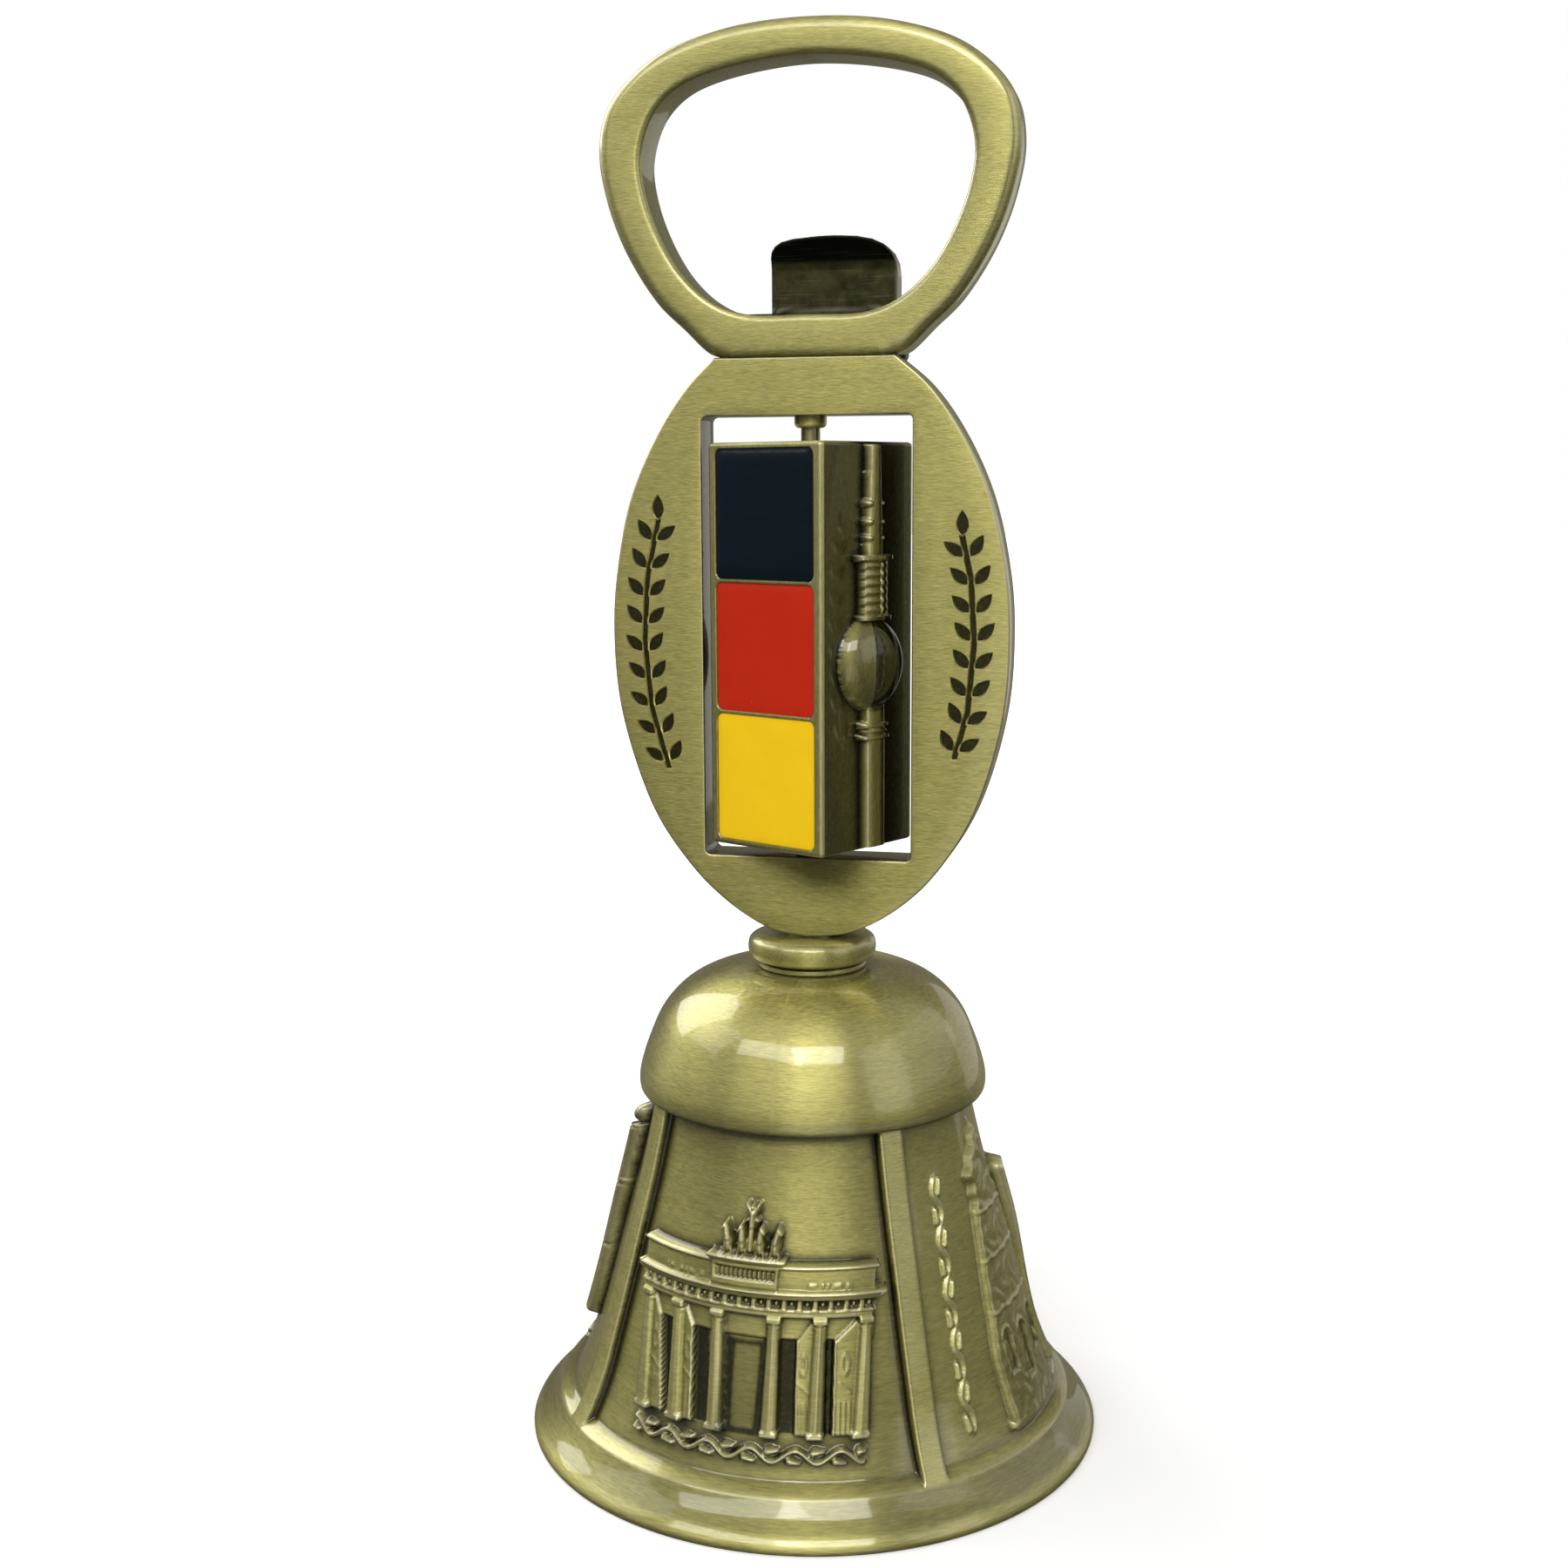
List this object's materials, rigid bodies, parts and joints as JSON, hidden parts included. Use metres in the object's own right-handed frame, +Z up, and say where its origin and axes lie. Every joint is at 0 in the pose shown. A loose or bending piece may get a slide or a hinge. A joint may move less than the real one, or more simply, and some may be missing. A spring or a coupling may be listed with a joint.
{
  "type": "bell bottle opener",
  "caption": "Bell-shaped souvenir bottle opener: relief-panelled brass bell with clapper, oval handle with a spinning enamelled block and an opener ring with a steel lip.",
  "frame": {"origin": "centre of the bell's mouth, on the plane it stands on", "axes": "+Z up the bell's axis towards the opener ring, -Y out of the handle's decorated front, +X to the right seen from the front"},
  "size_m": [0.05, 0.05, 0.1193],
  "materials": {
    "antique_brass": "brushed, antiqued with dark patina in the hollows",
    "clapper_brass": "turned, satin",
    "pin_brass": "dull",
    "plated_steel": "plated, satin",
    "burnished_steel": "dark, stained, worn at the edges",
    "enamel_black": "glossy soft enamel",
    "enamel_red": "glossy soft enamel",
    "enamel_gold": "glossy soft enamel"
  },
  "bodies": {
    "bell_and_handle": {"bell_shell": "antique_brass", "crown_washer": "plated_steel", "eye_screw": "plated_steel", "neck_collar": "antique_brass", "spinner_frame": "antique_brass", "upper_pivot_bush": "antique_brass", "lower_pivot_bush": "antique_brass", "opener_ring": "antique_brass", "opener_plate": "burnished_steel", "opener_rivet_left": "burnished_steel", "opener_rivet_right": "burnished_steel"},
    "spinner": {"spinner_block": "antique_brass", "upper_pivot_pin": "pin_brass", "lower_pivot_pin": "pin_brass", "enamel_black_front": "enamel_black", "enamel_red_front": "enamel_red", "enamel_gold_front": "enamel_gold", "enamel_black_back": "enamel_black", "enamel_red_back": "enamel_red", "enamel_gold_back": "enamel_gold"},
    "link": {"clapper_link": "plated_steel"},
    "clapper_body": {"clapper": "clapper_brass"}
  },
  "joints": [
    {"name": "spinner_spin", "type": "hinge", "parent": "bell_and_handle", "child": "spinner", "pos_m": [0, 0, 0.06885], "axis": [0, 0, 1], "continuous": true},
    {"name": "link_swing", "type": "hinge", "parent": "bell_and_handle", "child": "link", "pos_m": [0, 0, 0.03428], "axis": [0, 1, 0], "range_deg": [-23, 23]},
    {"name": "clapper_swing", "type": "hinge", "parent": "link", "child": "clapper_body", "pos_m": [0, 0, 0.02936], "axis": [1, 0, 0], "range_deg": [-23, 23]}
  ]
}
